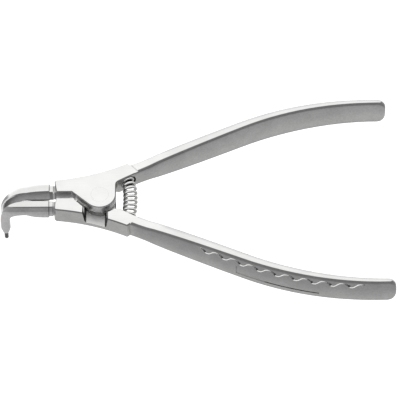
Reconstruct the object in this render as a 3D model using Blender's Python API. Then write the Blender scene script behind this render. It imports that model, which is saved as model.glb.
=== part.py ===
"""Circlip pliers for shaft rings, with tips bent at a right angle.

Two forged levers meet in a half-lapped joint and turn on one flush rivet. They don't cross, so squeezing
the handles spreads the tips. A coil spring sits in blind bores behind the joint, and a hard pin stands in
each nose.

Metres, +Z up. The pliers lie flat, jaws to -X and handles to +X, with the origin on the rivet's axis, level
with the top of the joint. Each lever is modelled about its own middle plane, and the lower one is the upper
one turned over, apart from the noses, which both bend down.
"""
import math

import bmesh
import bpy
from mathutils import Matrix, Vector

# Whole tool
NOSE_FRONT_X = -0.0440
HANDLE_END_X = 0.1275

# Lapped joint
JOINT_THICKNESS = 0.0088
LOBE_RADIUS = 0.0071
LAP_GAP = 0.0003
LOBE_BACK_FILLET = 0.0022
LAP_FRONT_START = (-0.0140, -0.0004)
LAP_FRONT_END_Y = 0.0065
LAP_REAR_ANGLE = 50.0
LAND_RADIUS = 0.0071
POCKET_FRONT_X = -0.0074
POCKET_REAR_X = 0.0037
POCKET_REAR_RADIUS = 0.0102
POCKET_WEB = 0.00225
POCKET_CORNER = 0.0012
POCKET_DRAFT = 0.0010
POCKET_SIDE_STEP = 0.0001
LOBE_CHAMFER = 0.00045

# Cheeks of the joint
JAW_GAP = 0.0032
CHEEK_FRONT_X = -0.0190
CHEEK_FRONT_LEAN = 0.0008
CHEEK_THROAT_X = -0.0123
CHEEK_FRONT_HALF_WIDTH = 0.0081
CHEEK_FRONT_CHAMFER = 0.0007
CHEEK_EDGE_RADIUS = 0.0006
CHEEK_SIDE_RADIUS = 0.0940
CHEEK_REAR_RADIUS = 0.0208
CHEEK_REAR_ANGLE = 54.6
INNER_WALL_START = (0.0092, 0.0077)
INNER_WALL_ANGLE = 30.0
SPOT_FACE_STEP = 0.00005

# Handles
HANDLE_ROOT = (0.0252, 0.01855)
HANDLE_ANGLE = 24.5
HANDLE_STRAIGHT_END_X = 0.0624
HANDLE_BOW_RADIUS = 0.1434
HANDLE_OVERLAP = 0.0011
HANDLE_ROOT_WIDTH = 0.0049
HANDLE_MIDDLE_WIDTH = 0.0038
HANDLE_END_WIDTH = 0.0027
HANDLE_ROOT_HEIGHT = 0.0095
HANDLE_FULL_HEIGHT = 0.0146
HANDLE_END_HEIGHT = 0.0136
HANDLE_FULL_X = 0.0760
HANDLE_RISE_POWER = 0.62
HANDLE_EDGE_RADIUS = 0.0010
LARGEST_EDGE_SHARE = 0.45
HANDLE_CROWN = 0.0003
HANDLE_TIP_ROUNDING = 0.0033
HANDLE_TIP_HEIGHT_SHARE = 0.30
HANDLE_TIP_WIDTH_SHARE = 0.70

# Noses, turned half round, with a flat that leans back from the tips so that closed noses lie together
NECK_OVERLAP = 0.0012
NECK_END_X = -0.0220
NECK_STEP = 0.0006
NECK_GROOVE_WIDTH = 0.0007
NECK_GROOVE_STEP = 0.0003
NOSE_SET_BACK = 0.00065
NOSE_EDGE_SHARE = 0.15
NOSE_BACK_DEPTH = 0.0070
NOSE_BACK_HALF_HEIGHT = 0.0035
NOSE_BEND_DEPTH = 0.0058
NOSE_BEND_HALF_HEIGHT = 0.00285
NOSE_TAPER_POWER = 3
LEG_DEPTH = 0.0036
LEG_HALF_WIDTH = 0.0021
NOSE_BEND_RADIUS = 0.0098
LEG_END_DROP = 0.0150
LEG_CONE_LENGTH = 0.0029
LEG_TIP_RADIUS = 0.00135

# Tip pins
PIN_OFFSET = 0.0017
PIN_RADIUS = 0.0009
PIN_OUT = 0.0044
PIN_IN = 0.0060
PIN_GAP = 0.0001
PIN_CHAMFER = 0.0002

# Rivet, with both heads countersunk and ground flush
RIVET_SHANK_RADIUS = 0.00275
RIVET_HEAD_RADIUS = 0.00375
RIVET_HEAD_DEPTH = 0.0011
RIVET_GAP = 0.0001

# Return spring and the bores that it sits in
SPRING_SEAT_X = 0.0126
SPRING_OUTER_RADIUS = 0.00320
SPRING_WIRE_RADIUS = 0.00058
SPRING_PITCH = 0.00232
SPRING_START_TURN = -0.38
SPRING_BOW = 0.0045
SPRING_END_GAP = 0.0003
SPRING_BORE_RADIUS = 0.00360
SPRING_BORE_DEPTH = 0.0026

# Fineness
ROUND_SIDES = 48
PIN_SIDES = 24
WIRE_SIDES = 8
WIRE_STEPS_PER_TURN = 16
SPRING_AXIS_STEPS = 400
LOBE_STEPS = 20
SIDE_STEPS = 10
REAR_STEPS = 8
FILLET_STEPS = 5
EDGE_STEPS = 3
HANDLE_STEPS = 14
HANDLE_TIP_ANGLES = (25, 45, 62, 76, 87)
NOSE_STEPS = 6
BEND_STEPS = 12
SECTION_STEPS = 16
FLAT_STEPS = 6
SHARP_ANGLE = 32.0

HALF_THICKNESS = JOINT_THICKNESS / 2
HALF_JAW_GAP = JAW_GAP / 2
LEG_X = NOSE_FRONT_X + LEG_HALF_WIDTH
OUTSIDE = 0.02


def steel(name, colour, roughness):
    """Return a bare metal material."""
    material = bpy.data.materials.new(name)
    material.use_nodes = True
    surface = material.node_tree.nodes["Principled BSDF"]
    surface.inputs["Base Color"].default_value = (*colour, 1.0)
    surface.inputs["Metallic"].default_value = 1.0
    surface.inputs["Roughness"].default_value = roughness
    return material


def finish(name, mesh):
    """Close a bmesh into a new object with its faces pointing out."""
    bmesh.ops.recalc_face_normals(mesh, faces=mesh.faces)
    data = bpy.data.meshes.new(name)
    mesh.to_mesh(data)
    mesh.free()
    piece = bpy.data.objects.new(name, data)
    bpy.context.scene.collection.objects.link(piece)
    return piece


def loft(name, rings):
    """Join rings of equally many points into one skin, capped at both ends."""
    mesh = bmesh.new()
    loops = [[mesh.verts.new(point) for point in ring] for ring in rings]
    count = len(loops[0])
    for lower, upper in zip(loops, loops[1:]):
        for i in range(count):
            j = (i + 1) % count
            mesh.faces.new((lower[i], lower[j], upper[j], upper[i]))
    mesh.faces.new(reversed(loops[0]))
    mesh.faces.new(loops[-1])
    return finish(name, mesh)


def turned(name, profile, sides, matrix=None):
    """Turn a profile of (radius, height) points about Z, capped at both ends."""
    matrix = matrix or Matrix.Identity(4)
    rings = []
    for radius, height in profile:
        angles = [math.tau * i / sides for i in range(sides)]
        rings.append([matrix @ Vector((radius * math.cos(a), radius * math.sin(a), height)) for a in angles])
    return loft(name, rings)


def cut(target, tool, operation="DIFFERENCE"):
    """Apply an exact Boolean and remove its tool."""
    modifier = target.modifiers.new(tool.name, "BOOLEAN")
    modifier.operation = operation
    modifier.object = tool
    evaluated = target.evaluated_get(bpy.context.evaluated_depsgraph_get())
    result = bpy.data.meshes.new_from_object(evaluated)
    target.modifiers.clear()
    target.data = result
    bpy.data.objects.remove(tool, do_unlink=True)


def arc(centre, radius, start, end, steps):
    """Points on an arc, angles in degrees."""
    angles = [math.radians(start + (end - start) * i / steps) for i in range(steps + 1)]
    return [(centre[0] + radius * math.cos(a), centre[1] + radius * math.sin(a)) for a in angles]


def bowed(start, end, radius, steps):
    """Points on the arc from start to end that bulges to the right of its way."""
    a, b = Vector(start), Vector(end)
    half = (b - a) / 2
    reach = math.sqrt(radius ** 2 - half.length_squared)
    centre = a + half + Vector((-half.y, half.x)).normalized() * reach
    first = math.degrees(math.atan2(*(a - centre).yx))
    sweep = 2 * math.degrees(math.asin(half.length / radius))
    return arc(centre, radius, first, first + sweep, steps)


def fillet(before, corner, after, radius):
    """Points that round a corner between two straight runs."""
    c = Vector(corner)
    u = (Vector(before) - c).normalized()
    v = (Vector(after) - c).normalized()
    half = u.angle(v) / 2
    centre = c + (u + v).normalized() * radius / math.sin(half)
    first = c + u * radius / math.tan(half) - centre
    last = c + v * radius / math.tan(half) - centre
    turn = first.angle_signed(last)
    points = []
    for i in range(FILLET_STEPS + 1):
        angle = -turn * i / FILLET_STEPS
        points.append(tuple(centre + Matrix.Rotation(angle, 2) @ first))
    return points


def grown(outline, distance):
    """A closed outline moved outwards, or inwards by a negative distance, corner by corner."""
    points = [Vector(point) for point in outline]
    area = sum(a.cross(b) for a, b in zip(points, points[1:] + points[:1]))
    turn = math.copysign(1, area)
    moved = []
    for before, here, after in zip(points[-1:] + points[:-1], points, points[1:] + points[:1]):
        first, second = (here - before).normalized(), (after - here).normalized()
        normals = [Vector((way.y, -way.x)) * turn for way in (first, second)]
        middle = (normals[0] + normals[1]).normalized()
        moved.append(tuple(here + middle * distance / middle.dot(normals[0])))
    return moved


def meets_circle(point, angle, radius):
    """Where a line through a point, at an angle in degrees, leaves a circle about the rivet."""
    along = Vector((math.cos(math.radians(angle)), math.sin(math.radians(angle))))
    near = along.dot(point)
    beside = Vector(point) - along * near
    return beside + along * math.sqrt(radius ** 2 - beside.length_squared)


def inner_wall(x):
    """Height in plan of the straight inner wall behind the joint."""
    return INNER_WALL_START[1] + (x - INNER_WALL_START[0]) * math.tan(math.radians(INNER_WALL_ANGLE))


def lever_outline():
    """Plan of the joint: cheek front, throat, lobe, inner wall, rear arc and side."""
    throat = Vector((CHEEK_THROAT_X, HALF_JAW_GAP))
    tangent = math.degrees(math.atan2(-throat.y, -throat.x) - math.asin(LOBE_RADIUS / throat.length))
    points = [(CHEEK_FRONT_X, HALF_JAW_GAP), tuple(throat)]
    points += arc((0, 0), LOBE_RADIUS, tangent - 90, 0, LOBE_STEPS)
    corner = (LOBE_RADIUS, inner_wall(LOBE_RADIUS))
    wall_end = meets_circle(INNER_WALL_START, INNER_WALL_ANGLE, CHEEK_REAR_RADIUS)
    points += fillet((LOBE_RADIUS, 0), corner, wall_end, LOBE_BACK_FILLET)
    wall_angle = math.degrees(math.atan2(wall_end.y, wall_end.x))
    points += arc((0, 0), CHEEK_REAR_RADIUS, wall_angle, CHEEK_REAR_ANGLE, REAR_STEPS)
    chamfer = CHEEK_FRONT_CHAMFER
    outer_x = CHEEK_FRONT_X - CHEEK_FRONT_LEAN
    side_front = (outer_x + chamfer, CHEEK_FRONT_HALF_WIDTH)
    side = bowed(side_front, points[-1], CHEEK_SIDE_RADIUS, SIDE_STEPS)
    points += list(reversed(side))[1:]
    points.append((outer_x, CHEEK_FRONT_HALF_WIDTH - chamfer))
    return points


def cheek(name):
    """The joint's block, with its edges rounded all the way round both faces."""
    outline = lever_outline()
    angles = [math.pi / 2 * i / EDGE_STEPS for i in range(EDGE_STEPS + 1)]
    rings = []
    for side, turns in ((-1, reversed(angles)), (1, angles)):
        for angle in turns:
            height = HALF_THICKNESS - CHEEK_EDGE_RADIUS * (1 - math.sin(angle))
            plan = grown(outline, -CHEEK_EDGE_RADIUS * (1 - math.cos(angle)))
            rings.append([(x, y, side * height) for x, y in plan])
    return loft(name, rings)


def pocket_draft(z):
    """How far the slanted sides of the pocket have come in at a height, from none at the open face."""
    return POCKET_DRAFT * (z + HALF_THICKNESS) / (JOINT_THICKNESS - POCKET_WEB)


def lap_outline(z):
    """Plan, at a height, of the half-thickness recess that the other lever's lobe turns in."""
    wall_x, wall_y = INNER_WALL_START
    draft = pocket_draft(z)
    front_x, rear_x = POCKET_FRONT_X + draft, POCKET_REAR_X - draft
    start_x, start_y = LAP_FRONT_START
    slope = (LAP_FRONT_END_Y - start_y) / (POCKET_FRONT_X - start_x)
    pocket_angle = math.degrees(math.acos(rear_x / POCKET_REAR_RADIUS))
    return [
        (start_x, -OUTSIDE),
        (wall_x, -OUTSIDE),
        (wall_x, wall_y - LAP_GAP),
        *arc((0, 0), POCKET_REAR_RADIUS, LAP_REAR_ANGLE, pocket_angle, FILLET_STEPS),
        (rear_x, OUTSIDE),
        (front_x, OUTSIDE),
        (front_x, start_y + (front_x - start_x) * slope),
        LAP_FRONT_START,
    ]


def lap():
    """The recess as a cutter, which also chamfers the lobe's edge that faces the other lever."""
    size = LOBE_CHAMFER
    floor = LAP_GAP / 2
    tool = loft("lap", [[(x, y, z) for x, y in lap_outline(z)] for z in (-HALF_THICKNESS - size, floor)])
    rim = loft("rim", [[(x, y, z) for x, y in lap_outline(floor)] for z in (floor - size, floor + 2 * size)])
    lobe_rings = []
    for rise, reach in ((-2, -1), (0, -1), (3, 2)):
        outline = grown(lever_outline(), reach * size)
        lobe_rings.append([(x, y, floor + rise * size) for x, y in outline])
    cut(rim, loft("lobe", lobe_rings))
    cut(tool, rim, "UNION")
    return tool


def pocket():
    """The deeper pocket outside the bearing land, open to the lever's side, with slanted sides."""
    floor = HALF_THICKNESS - POCKET_WEB
    below = -HALF_THICKNESS - LOBE_CHAMFER
    left = [(POCKET_FRONT_X - POCKET_SIDE_STEP + pocket_draft(z), z) for z in (below, floor)]
    right = [(POCKET_REAR_X + POCKET_SIDE_STEP - pocket_draft(z), z) for z in (below, floor)]
    profile = [left[0], right[0]]
    profile += fillet(right[0], right[1], left[1], POCKET_CORNER)
    profile += fillet(right[1], left[1], left[0], POCKET_CORNER)
    tool = loft("pocket", [[(x, y, z) for x, z in profile] for y in (0.0, OUTSIDE)])
    land = turned("land", [(LAND_RADIUS, -OUTSIDE), (LAND_RADIUS, OUTSIDE)], ROUND_SIDES)
    cut(tool, land)
    return tool


def handle_section(width, height):
    """A rounded bar, slightly crowned on both sides, as (across, up) points."""
    radius = min(HANDLE_EDGE_RADIUS, LARGEST_EDGE_SHARE * width, LARGEST_EDGE_SHARE * height)
    flat = height / 2 - radius
    points = []
    for side, start in ((1, -90), (-1, 90)):
        x = side * (width / 2 - radius)
        low, high = (-side * flat, side * flat)
        points += arc((x, low), radius, start, start + 90, EDGE_STEPS)
        points += [(side * width / 2, low + (high - low) * share) for share in (0.25, 0.5, 0.75)]
        points += arc((x, high), radius, start + 90, start + 180, EDGE_STEPS)
    crown = []
    for across, up in points:
        bulge = HANDLE_CROWN * max(0.0, 1 - (2 * up / height) ** 2) * abs(2 * across / width)
        crown.append((across + math.copysign(bulge, across), up))
    return crown


def handle_start_x():
    """Where the handle starts, inside the cheek."""
    return meets_circle(HANDLE_ROOT, HANDLE_ANGLE, CHEEK_REAR_RADIUS - HANDLE_OVERLAP).x


def handle_course():
    """Stations down the handle's middle: position in X and Y, and heading."""
    root = Vector(HANDLE_ROOT)
    angle = math.radians(HANDLE_ANGLE)
    start = handle_start_x()
    stations = []
    for i in range(HANDLE_STEPS + 1):
        x = start + (HANDLE_STRAIGHT_END_X - start) * i / HANDLE_STEPS
        stations.append((x, root.y + (x - root.x) * math.tan(angle), angle))
    bend_x, bend_y, _ = stations[-1]
    end = math.asin(math.sin(angle) - (HANDLE_END_X - bend_x) / HANDLE_BOW_RADIUS)
    rounding = HANDLE_TIP_ROUNDING / HANDLE_BOW_RADIUS
    turns = [angle + (end + rounding - angle) * i / HANDLE_STEPS for i in range(1, HANDLE_STEPS + 1)]
    turns += [end + rounding * (1 - math.sin(math.radians(a))) for a in HANDLE_TIP_ANGLES]
    for heading in turns:
        x = bend_x + HANDLE_BOW_RADIUS * (math.sin(angle) - math.sin(heading))
        y = bend_y + HANDLE_BOW_RADIUS * (math.cos(heading) - math.cos(angle))
        stations.append((x, y, heading))
    return stations


def handle_size(x):
    """Width and height of the handle's section at a station."""
    start = handle_start_x()
    share = (x - start) / (HANDLE_END_X - start)
    if share < 0.5:
        width = HANDLE_ROOT_WIDTH + (HANDLE_MIDDLE_WIDTH - HANDLE_ROOT_WIDTH) * share * 2
    else:
        width = HANDLE_MIDDLE_WIDTH + (HANDLE_END_WIDTH - HANDLE_MIDDLE_WIDTH) * (share * 2 - 1)
    if x < HANDLE_FULL_X:
        way = max(0.0, x - CHEEK_REAR_RADIUS) / (HANDLE_FULL_X - CHEEK_REAR_RADIUS)
        rise = math.sin(math.pi / 2 * way ** HANDLE_RISE_POWER)
        height = HANDLE_ROOT_HEIGHT + (HANDLE_FULL_HEIGHT - HANDLE_ROOT_HEIGHT) * rise
    else:
        fall = (x - HANDLE_FULL_X) / (HANDLE_END_X - HANDLE_FULL_X)
        drop = (1 - math.cos(math.pi * fall)) / 2
        height = HANDLE_FULL_HEIGHT - (HANDLE_FULL_HEIGHT - HANDLE_END_HEIGHT) * drop
    return width, height


def handle():
    """The forged handle, lofted down its course, with a spot face cut round the joint."""
    rings = []
    for x, y, heading in handle_course():
        width, height = handle_size(x)
        left = max(0.0, HANDLE_END_X - x) / HANDLE_TIP_ROUNDING
        if left < 1:
            full = math.sqrt(1 - (1 - left) ** 2)
            height *= HANDLE_TIP_HEIGHT_SHARE + (1 - HANDLE_TIP_HEIGHT_SHARE) * full
            width *= HANDLE_TIP_WIDTH_SHARE + (1 - HANDLE_TIP_WIDTH_SHARE) * full
        outward = Vector((-math.sin(heading), math.cos(heading), 0))
        centre = Vector((x, y, 0))
        rings.append([centre + outward * a + Vector((0, 0, b)) for a, b in handle_section(width, height)])
    bar = loft("handle", rings)
    spot_face = HALF_THICKNESS - SPOT_FACE_STEP
    for low, high in ((spot_face, OUTSIDE), (-OUTSIDE, -spot_face)):
        radius = CHEEK_REAR_RADIUS + SPOT_FACE_STEP
        cut(bar, turned("spot_face", [(radius, low), (radius, high)], ROUND_SIDES * 2))
    return bar


def nose_section(flat, centre, depth, half_height):
    """An oval about a line out from the jaw's face, cut off at the nose's flat with its two edges broken."""
    reach = depth - centre
    leg_share = PIN_OFFSET / (LEG_DEPTH - PIN_OFFSET)
    turn = math.pi / 2 + math.asin(min((centre - flat) / reach, leg_share))
    edge = NOSE_EDGE_SHARE * half_height
    last = turn - edge / reach
    angles = [last - 2 * last * i / SECTION_STEPS for i in range(SECTION_STEPS + 1)]
    points = [(centre + reach * math.cos(a), half_height * math.sin(a)) for a in angles]
    out = centre + reach * math.cos(turn)
    top = half_height * math.sin(turn) - edge
    points += [(out, top * (2 * i / FLAT_STEPS - 1)) for i in range(FLAT_STEPS + 1)]
    return points


def nose_course(bend):
    """Stations along the nose: position in X and Z, heading downwards, and its section's sizes."""
    bend_x = LEG_X + NOSE_BEND_RADIUS
    shoulder_x = NECK_END_X - NECK_STEP / 2
    groove_end_x = CHEEK_FRONT_X - CHEEK_FRONT_LEAN - NECK_GROOVE_WIDTH
    groove = NECK_STEP + NECK_GROOVE_STEP
    stations = []
    for x, step in ((CHEEK_FRONT_X + NECK_OVERLAP, groove), (groove_end_x + NECK_GROOVE_STEP, groove),
                    (groove_end_x, NECK_STEP), (NECK_END_X, NECK_STEP)):
        stations.append((x, 0.0, 0.0, 0.0, NOSE_BACK_DEPTH - step, NOSE_BACK_HALF_HEIGHT - step))
    for i in range(NOSE_STEPS):
        share = i / (NOSE_STEPS - 1)
        taper = share ** NOSE_TAPER_POWER
        depth = NOSE_BACK_DEPTH + (NOSE_BEND_DEPTH - NOSE_BACK_DEPTH) * taper
        height = NOSE_BACK_HALF_HEIGHT + (NOSE_BEND_HALF_HEIGHT - NOSE_BACK_HALF_HEIGHT) * taper
        stations.append((shoulder_x + (bend_x - shoulder_x) * share, 0.0, 0.0, 0.0, depth, height))
    for i in range(1, BEND_STEPS + 1):
        share = i / BEND_STEPS
        angle = math.pi / 2 * share
        x = bend_x - NOSE_BEND_RADIUS * math.sin(angle)
        z = NOSE_BEND_RADIUS * (math.cos(angle) - 1)
        eased = (1 - math.cos(math.pi * share)) / 2
        depth = NOSE_BEND_DEPTH + (LEG_DEPTH - NOSE_BEND_DEPTH) * eased
        height = NOSE_BEND_HALF_HEIGHT + (LEG_HALF_WIDTH - NOSE_BEND_HALF_HEIGHT) * eased
        stations.append((x, z, angle, eased, depth, height))
    stations.append((LEG_X, -LEG_END_DROP, math.pi / 2, 1.0, LEG_DEPTH, LEG_HALF_WIDTH))
    return [(x, z * bend, angle * bend, *sizes) for x, z, angle, *sizes in stations]


def nose(bend):
    """The nose, lofted along its bend and closed by a cone about the pin."""
    rings = []
    for x, z, angle, bent, depth, height in nose_course(bend):
        up = Vector((-math.sin(angle), 0, math.cos(angle)))
        base = Vector((x, HALF_JAW_GAP, z))
        flat = NOSE_SET_BACK * (x - LEG_X) / (NECK_END_X - LEG_X)
        centre = flat + (PIN_OFFSET - flat) * bent
        section = nose_section(flat, centre, depth, height)
        rings.append([base + Vector((0, a, 0)) + up * b for a, b in section])
    drop = LEG_END_DROP + LEG_CONE_LENGTH
    base = Vector((LEG_X, HALF_JAW_GAP, -drop * bend))
    tip = nose_section(0.0, PIN_OFFSET, PIN_OFFSET + LEG_TIP_RADIUS, LEG_TIP_RADIUS)
    rings.append([base + Vector((-bend * b, a, 0)) for a, b in tip])
    return loft("nose", rings)


def pin_place(bend):
    """Where a pin's free end lies."""
    drop = LEG_END_DROP + LEG_CONE_LENGTH + PIN_OUT
    return Vector((LEG_X, HALF_JAW_GAP + PIN_OFFSET, -drop * bend))


def seat_frame():
    """Centre of the spring's bore in the inner wall, and the way out of it."""
    angle = math.radians(INNER_WALL_ANGLE)
    seat = Vector((SPRING_SEAT_X, inner_wall(SPRING_SEAT_X), 0))
    return seat, Vector((math.sin(angle), -math.cos(angle), 0))


def rivet_profile(gap, height):
    """Half section of the rivet, or of the hole for it."""
    head = RIVET_HEAD_RADIUS + gap
    shank = RIVET_SHANK_RADIUS + gap
    shoulder = HALF_THICKNESS - RIVET_HEAD_DEPTH
    half = [(shank, shoulder), (head, HALF_THICKNESS)]
    if height > HALF_THICKNESS:
        half.append((head, height))
    return [(radius, -z) for radius, z in reversed(half)] + half


def lever(name, bend):
    """One lever: cheek, lobe, nose and handle in one forging, with its recesses and bores."""
    body = cheek(name)
    cut(body, lap())
    cut(body, pocket())
    cut(body, handle(), "UNION")
    cut(body, nose(bend), "UNION")
    cut(body, turned("rivet_hole", rivet_profile(RIVET_GAP, OUTSIDE), ROUND_SIDES))
    seat, way_out = seat_frame()
    matrix = Matrix.Translation(seat) @ way_out.to_track_quat("Z", "Y").to_matrix().to_4x4()
    bore = [(SPRING_BORE_RADIUS, -SPRING_BORE_DEPTH), (SPRING_BORE_RADIUS, OUTSIDE)]
    cut(body, turned("spring_bore", bore, ROUND_SIDES, matrix))
    end = pin_place(bend)
    way = Matrix.Rotation(0 if bend > 0 else math.pi, 4, "X")
    hole = PIN_RADIUS + PIN_GAP
    hole_profile = [(hole, -OUTSIDE), (hole, PIN_OUT + PIN_IN + PIN_GAP)]
    cut(body, turned("pin_hole", hole_profile, PIN_SIDES, Matrix.Translation(end) @ way))
    return body


def tip_pin(name, bend):
    """A round pin, chamfered at its free end, with its origin there."""
    profile = [(PIN_RADIUS - PIN_CHAMFER, 0), (PIN_RADIUS, PIN_CHAMFER), (PIN_RADIUS, PIN_OUT + PIN_IN)]
    pin = turned(name, profile, PIN_SIDES, Matrix.Rotation(0 if bend > 0 else math.pi, 4, "X"))
    pin.location = pin_place(bend)
    return pin


def rivet(name):
    """The rivet, flush with both cheeks."""
    return turned(name, rivet_profile(0, HALF_THICKNESS), ROUND_SIDES)


def spring_axis():
    """Points down the spring's bowed axis, from the upper bore's floor to the lower one's."""
    seat, way_out = seat_frame()
    start = seat - way_out * (SPRING_BORE_DEPTH - SPRING_END_GAP - SPRING_WIRE_RADIUS)
    pull = start + way_out * SPRING_BOW
    ends = [start, pull, Vector((pull.x, -pull.y, 0)), Vector((start.x, -start.y, 0))]
    points = []
    for i in range(SPRING_AXIS_STEPS + 1):
        t = i / SPRING_AXIS_STEPS
        weights = ((1 - t) ** 3, 3 * t * (1 - t) ** 2, 3 * t ** 2 * (1 - t), t ** 3)
        points.append(sum((end * weight for end, weight in zip(ends, weights)), Vector()))
    return points


def spring(name):
    """The coil spring, its wire swept down a helix about the bowed axis."""
    axis = spring_axis()
    lengths = [0.0]
    for a, b in zip(axis, axis[1:]):
        lengths.append(lengths[-1] + (b - a).length)
    turns = lengths[-1] / SPRING_PITCH
    steps = round(turns * WIRE_STEPS_PER_TURN)
    coil_radius = SPRING_OUTER_RADIUS - SPRING_WIRE_RADIUS
    centres = []
    for i in range(steps + 1):
        share = i / steps
        at = share * (len(axis) - 1)
        k = min(int(at), len(axis) - 2)
        along = (axis[k + 1] - axis[k]).normalized()
        across = Vector((0, 0, 1)).cross(along)
        angle = math.tau * (turns * share + SPRING_START_TURN)
        point = axis[k].lerp(axis[k + 1], at - k)
        centres.append(point + (across * math.cos(angle) + Vector((0, 0, 1)) * math.sin(angle)) * coil_radius)
    rings = []
    for i, centre in enumerate(centres):
        along = (centres[min(i + 1, steps)] - centres[max(i - 1, 0)]).normalized()
        share = i / steps
        k = min(int(share * (len(axis) - 1)), len(axis) - 2)
        outward = (centre - axis[k]).normalized()
        side = along.cross(outward).normalized()
        outward = side.cross(along)
        angles = [math.tau * j / WIRE_SIDES for j in range(WIRE_SIDES)]
        ring = [centre + (outward * math.cos(a) + side * math.sin(a)) * SPRING_WIRE_RADIUS for a in angles]
        rings.append(ring)
    return loft(name, rings)


def place(piece, parent, material):
    """Hang a piece on its lever's empty and give it its steel."""
    piece.parent = parent
    piece.data.materials.clear()
    piece.data.materials.append(material)
    piece.data.shade_smooth()
    piece.data.set_sharp_from_angle(angle=math.radians(SHARP_ANGLE))


def pivot(name, turned_over):
    """An empty on the rivet's axis, in the joint's middle plane."""
    empty = bpy.data.objects.new(name, None)
    empty.location = (0, 0, -HALF_THICKNESS)
    empty.rotation_euler = (math.pi if turned_over else 0, 0, 0)
    bpy.context.scene.collection.objects.link(empty)
    return empty


def main():
    """Build the pliers."""
    for old in list(bpy.data.objects):
        bpy.data.objects.remove(old, do_unlink=True)
    forged = steel("forged_steel", (0.60, 0.60, 0.60), 0.35)
    dark = steel("pin_steel", (0.10, 0.10, 0.11), 0.45)
    bright = steel("spring_steel", (0.66, 0.66, 0.66), 0.22)
    upper = pivot("upper_lever", False)
    lower = pivot("lower_lever", True)
    place(lever("upper_arm", 1), upper, forged)
    place(tip_pin("upper_tip_pin", 1), upper, dark)
    place(lever("lower_arm", -1), lower, forged)
    place(tip_pin("lower_tip_pin", -1), lower, dark)
    place(rivet("pivot_rivet"), lower, forged)
    place(spring("return_spring"), upper, bright)


main()
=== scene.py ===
"""Looks of the circlip pliers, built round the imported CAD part.

The two forgings are copied from the frame, then carved and given a raised scallop border on their outer
faces. The spring, the rivet and the tip pins are made again with finer meshes. Metres, in the frame's own
axes.
"""
import logging
import math
from dataclasses import dataclass, field
from enum import Enum

import bmesh
import bpy
from mathutils import Matrix, Vector


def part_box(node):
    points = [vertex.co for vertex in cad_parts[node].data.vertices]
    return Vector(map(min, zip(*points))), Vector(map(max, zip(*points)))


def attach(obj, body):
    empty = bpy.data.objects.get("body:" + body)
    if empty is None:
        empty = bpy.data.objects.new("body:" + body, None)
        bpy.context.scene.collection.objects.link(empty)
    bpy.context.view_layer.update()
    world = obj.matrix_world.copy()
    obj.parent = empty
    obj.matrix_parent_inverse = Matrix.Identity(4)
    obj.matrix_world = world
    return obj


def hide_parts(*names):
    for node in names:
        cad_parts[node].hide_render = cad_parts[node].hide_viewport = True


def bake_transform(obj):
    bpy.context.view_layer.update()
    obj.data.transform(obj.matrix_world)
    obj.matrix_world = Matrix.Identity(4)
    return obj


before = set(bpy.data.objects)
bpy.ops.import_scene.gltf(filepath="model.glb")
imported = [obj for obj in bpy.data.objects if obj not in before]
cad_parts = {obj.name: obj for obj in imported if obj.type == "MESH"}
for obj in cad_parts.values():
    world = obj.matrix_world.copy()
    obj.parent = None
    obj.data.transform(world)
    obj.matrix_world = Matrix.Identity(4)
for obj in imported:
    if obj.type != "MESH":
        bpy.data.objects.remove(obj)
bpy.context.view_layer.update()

LOG = logging.getLogger("circlip_pliers")
Tree = bpy.types.NodeTree
Socket = bpy.types.NodeSocket
Ramp = tuple[float, float]

MM = 0.001
# The plane halfway between the joint's two cheeks.
MIDDLE_Z = -0.0044
# A mask taken as it is and turned round, as ramps for zone.
INSIDE: Ramp = (0.0, 1.0)
OUTSIDE: Ramp = (1.0, 0.0)
# Nearly all values of a noise texture lie between these.
NOISE_SPREAD: Ramp = (0.3, 0.7)
TURNED_SHARP_ANGLE = math.radians(30)


class Side(Enum):
    """The two sides of the tool, by the sign of Y."""

    UPPER = 1
    LOWER = -1


class Carving(Enum):
    """What a carving tool does to a forging."""

    SINK = "DIFFERENCE"
    RAISE = "UNION"


def srgb(code: str) -> tuple[float, float, float, float]:
    """Turn an sRGB hex value into a linear colour.

    Args:
        code: six hex digits.

    Returns:
        The linear colour with full opacity.
    """
    channels = [int(code[i:i + 2], 16) / 255 for i in (0, 2, 4)]
    linear = [c / 12.92 if c <= 0.04045 else ((c + 0.055) / 1.055) ** 2.4 for c in channels]
    return (*linear, 1.0)


def add_node(tree: Tree, kind: str, settings: dict | None = None,
             inputs: dict | None = None) -> bpy.types.Node:
    """Add a node with its settings, values and links.

    Args:
        tree: the tree that gets the node.
        kind: the node's type.
        settings: properties of the node.
        inputs: a value or a socket to link, for each input by name or number.

    Returns:
        The new node.
    """
    node = tree.nodes.new(kind)
    for name, value in (settings or {}).items():
        setattr(node, name, value)
    for key, value in (inputs or {}).items():
        if isinstance(value, Socket):
            tree.links.new(value, node.inputs[key])
        else:
            node.inputs[key].default_value = value
    return node


def new_object(name: str, mesh: bpy.types.Mesh) -> bpy.types.Object:
    """Link a new object that holds a mesh.

    Args:
        name: the object's name.
        mesh: its mesh.

    Returns:
        The new object.
    """
    piece = bpy.data.objects.new(name, mesh)
    bpy.context.scene.collection.objects.link(piece)
    return piece


def from_bmesh(name: str, mesh: bmesh.types.BMesh) -> bpy.types.Object:
    """Make an object of a bmesh, with its faces pointing out.

    Args:
        name: the object's name.
        mesh: the bmesh, which is freed.

    Returns:
        The new object.
    """
    bmesh.ops.recalc_face_normals(mesh, faces=mesh.faces)
    data = bpy.data.meshes.new(name)
    mesh.to_mesh(data)
    mesh.free()
    return new_object(name, data)


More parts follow.
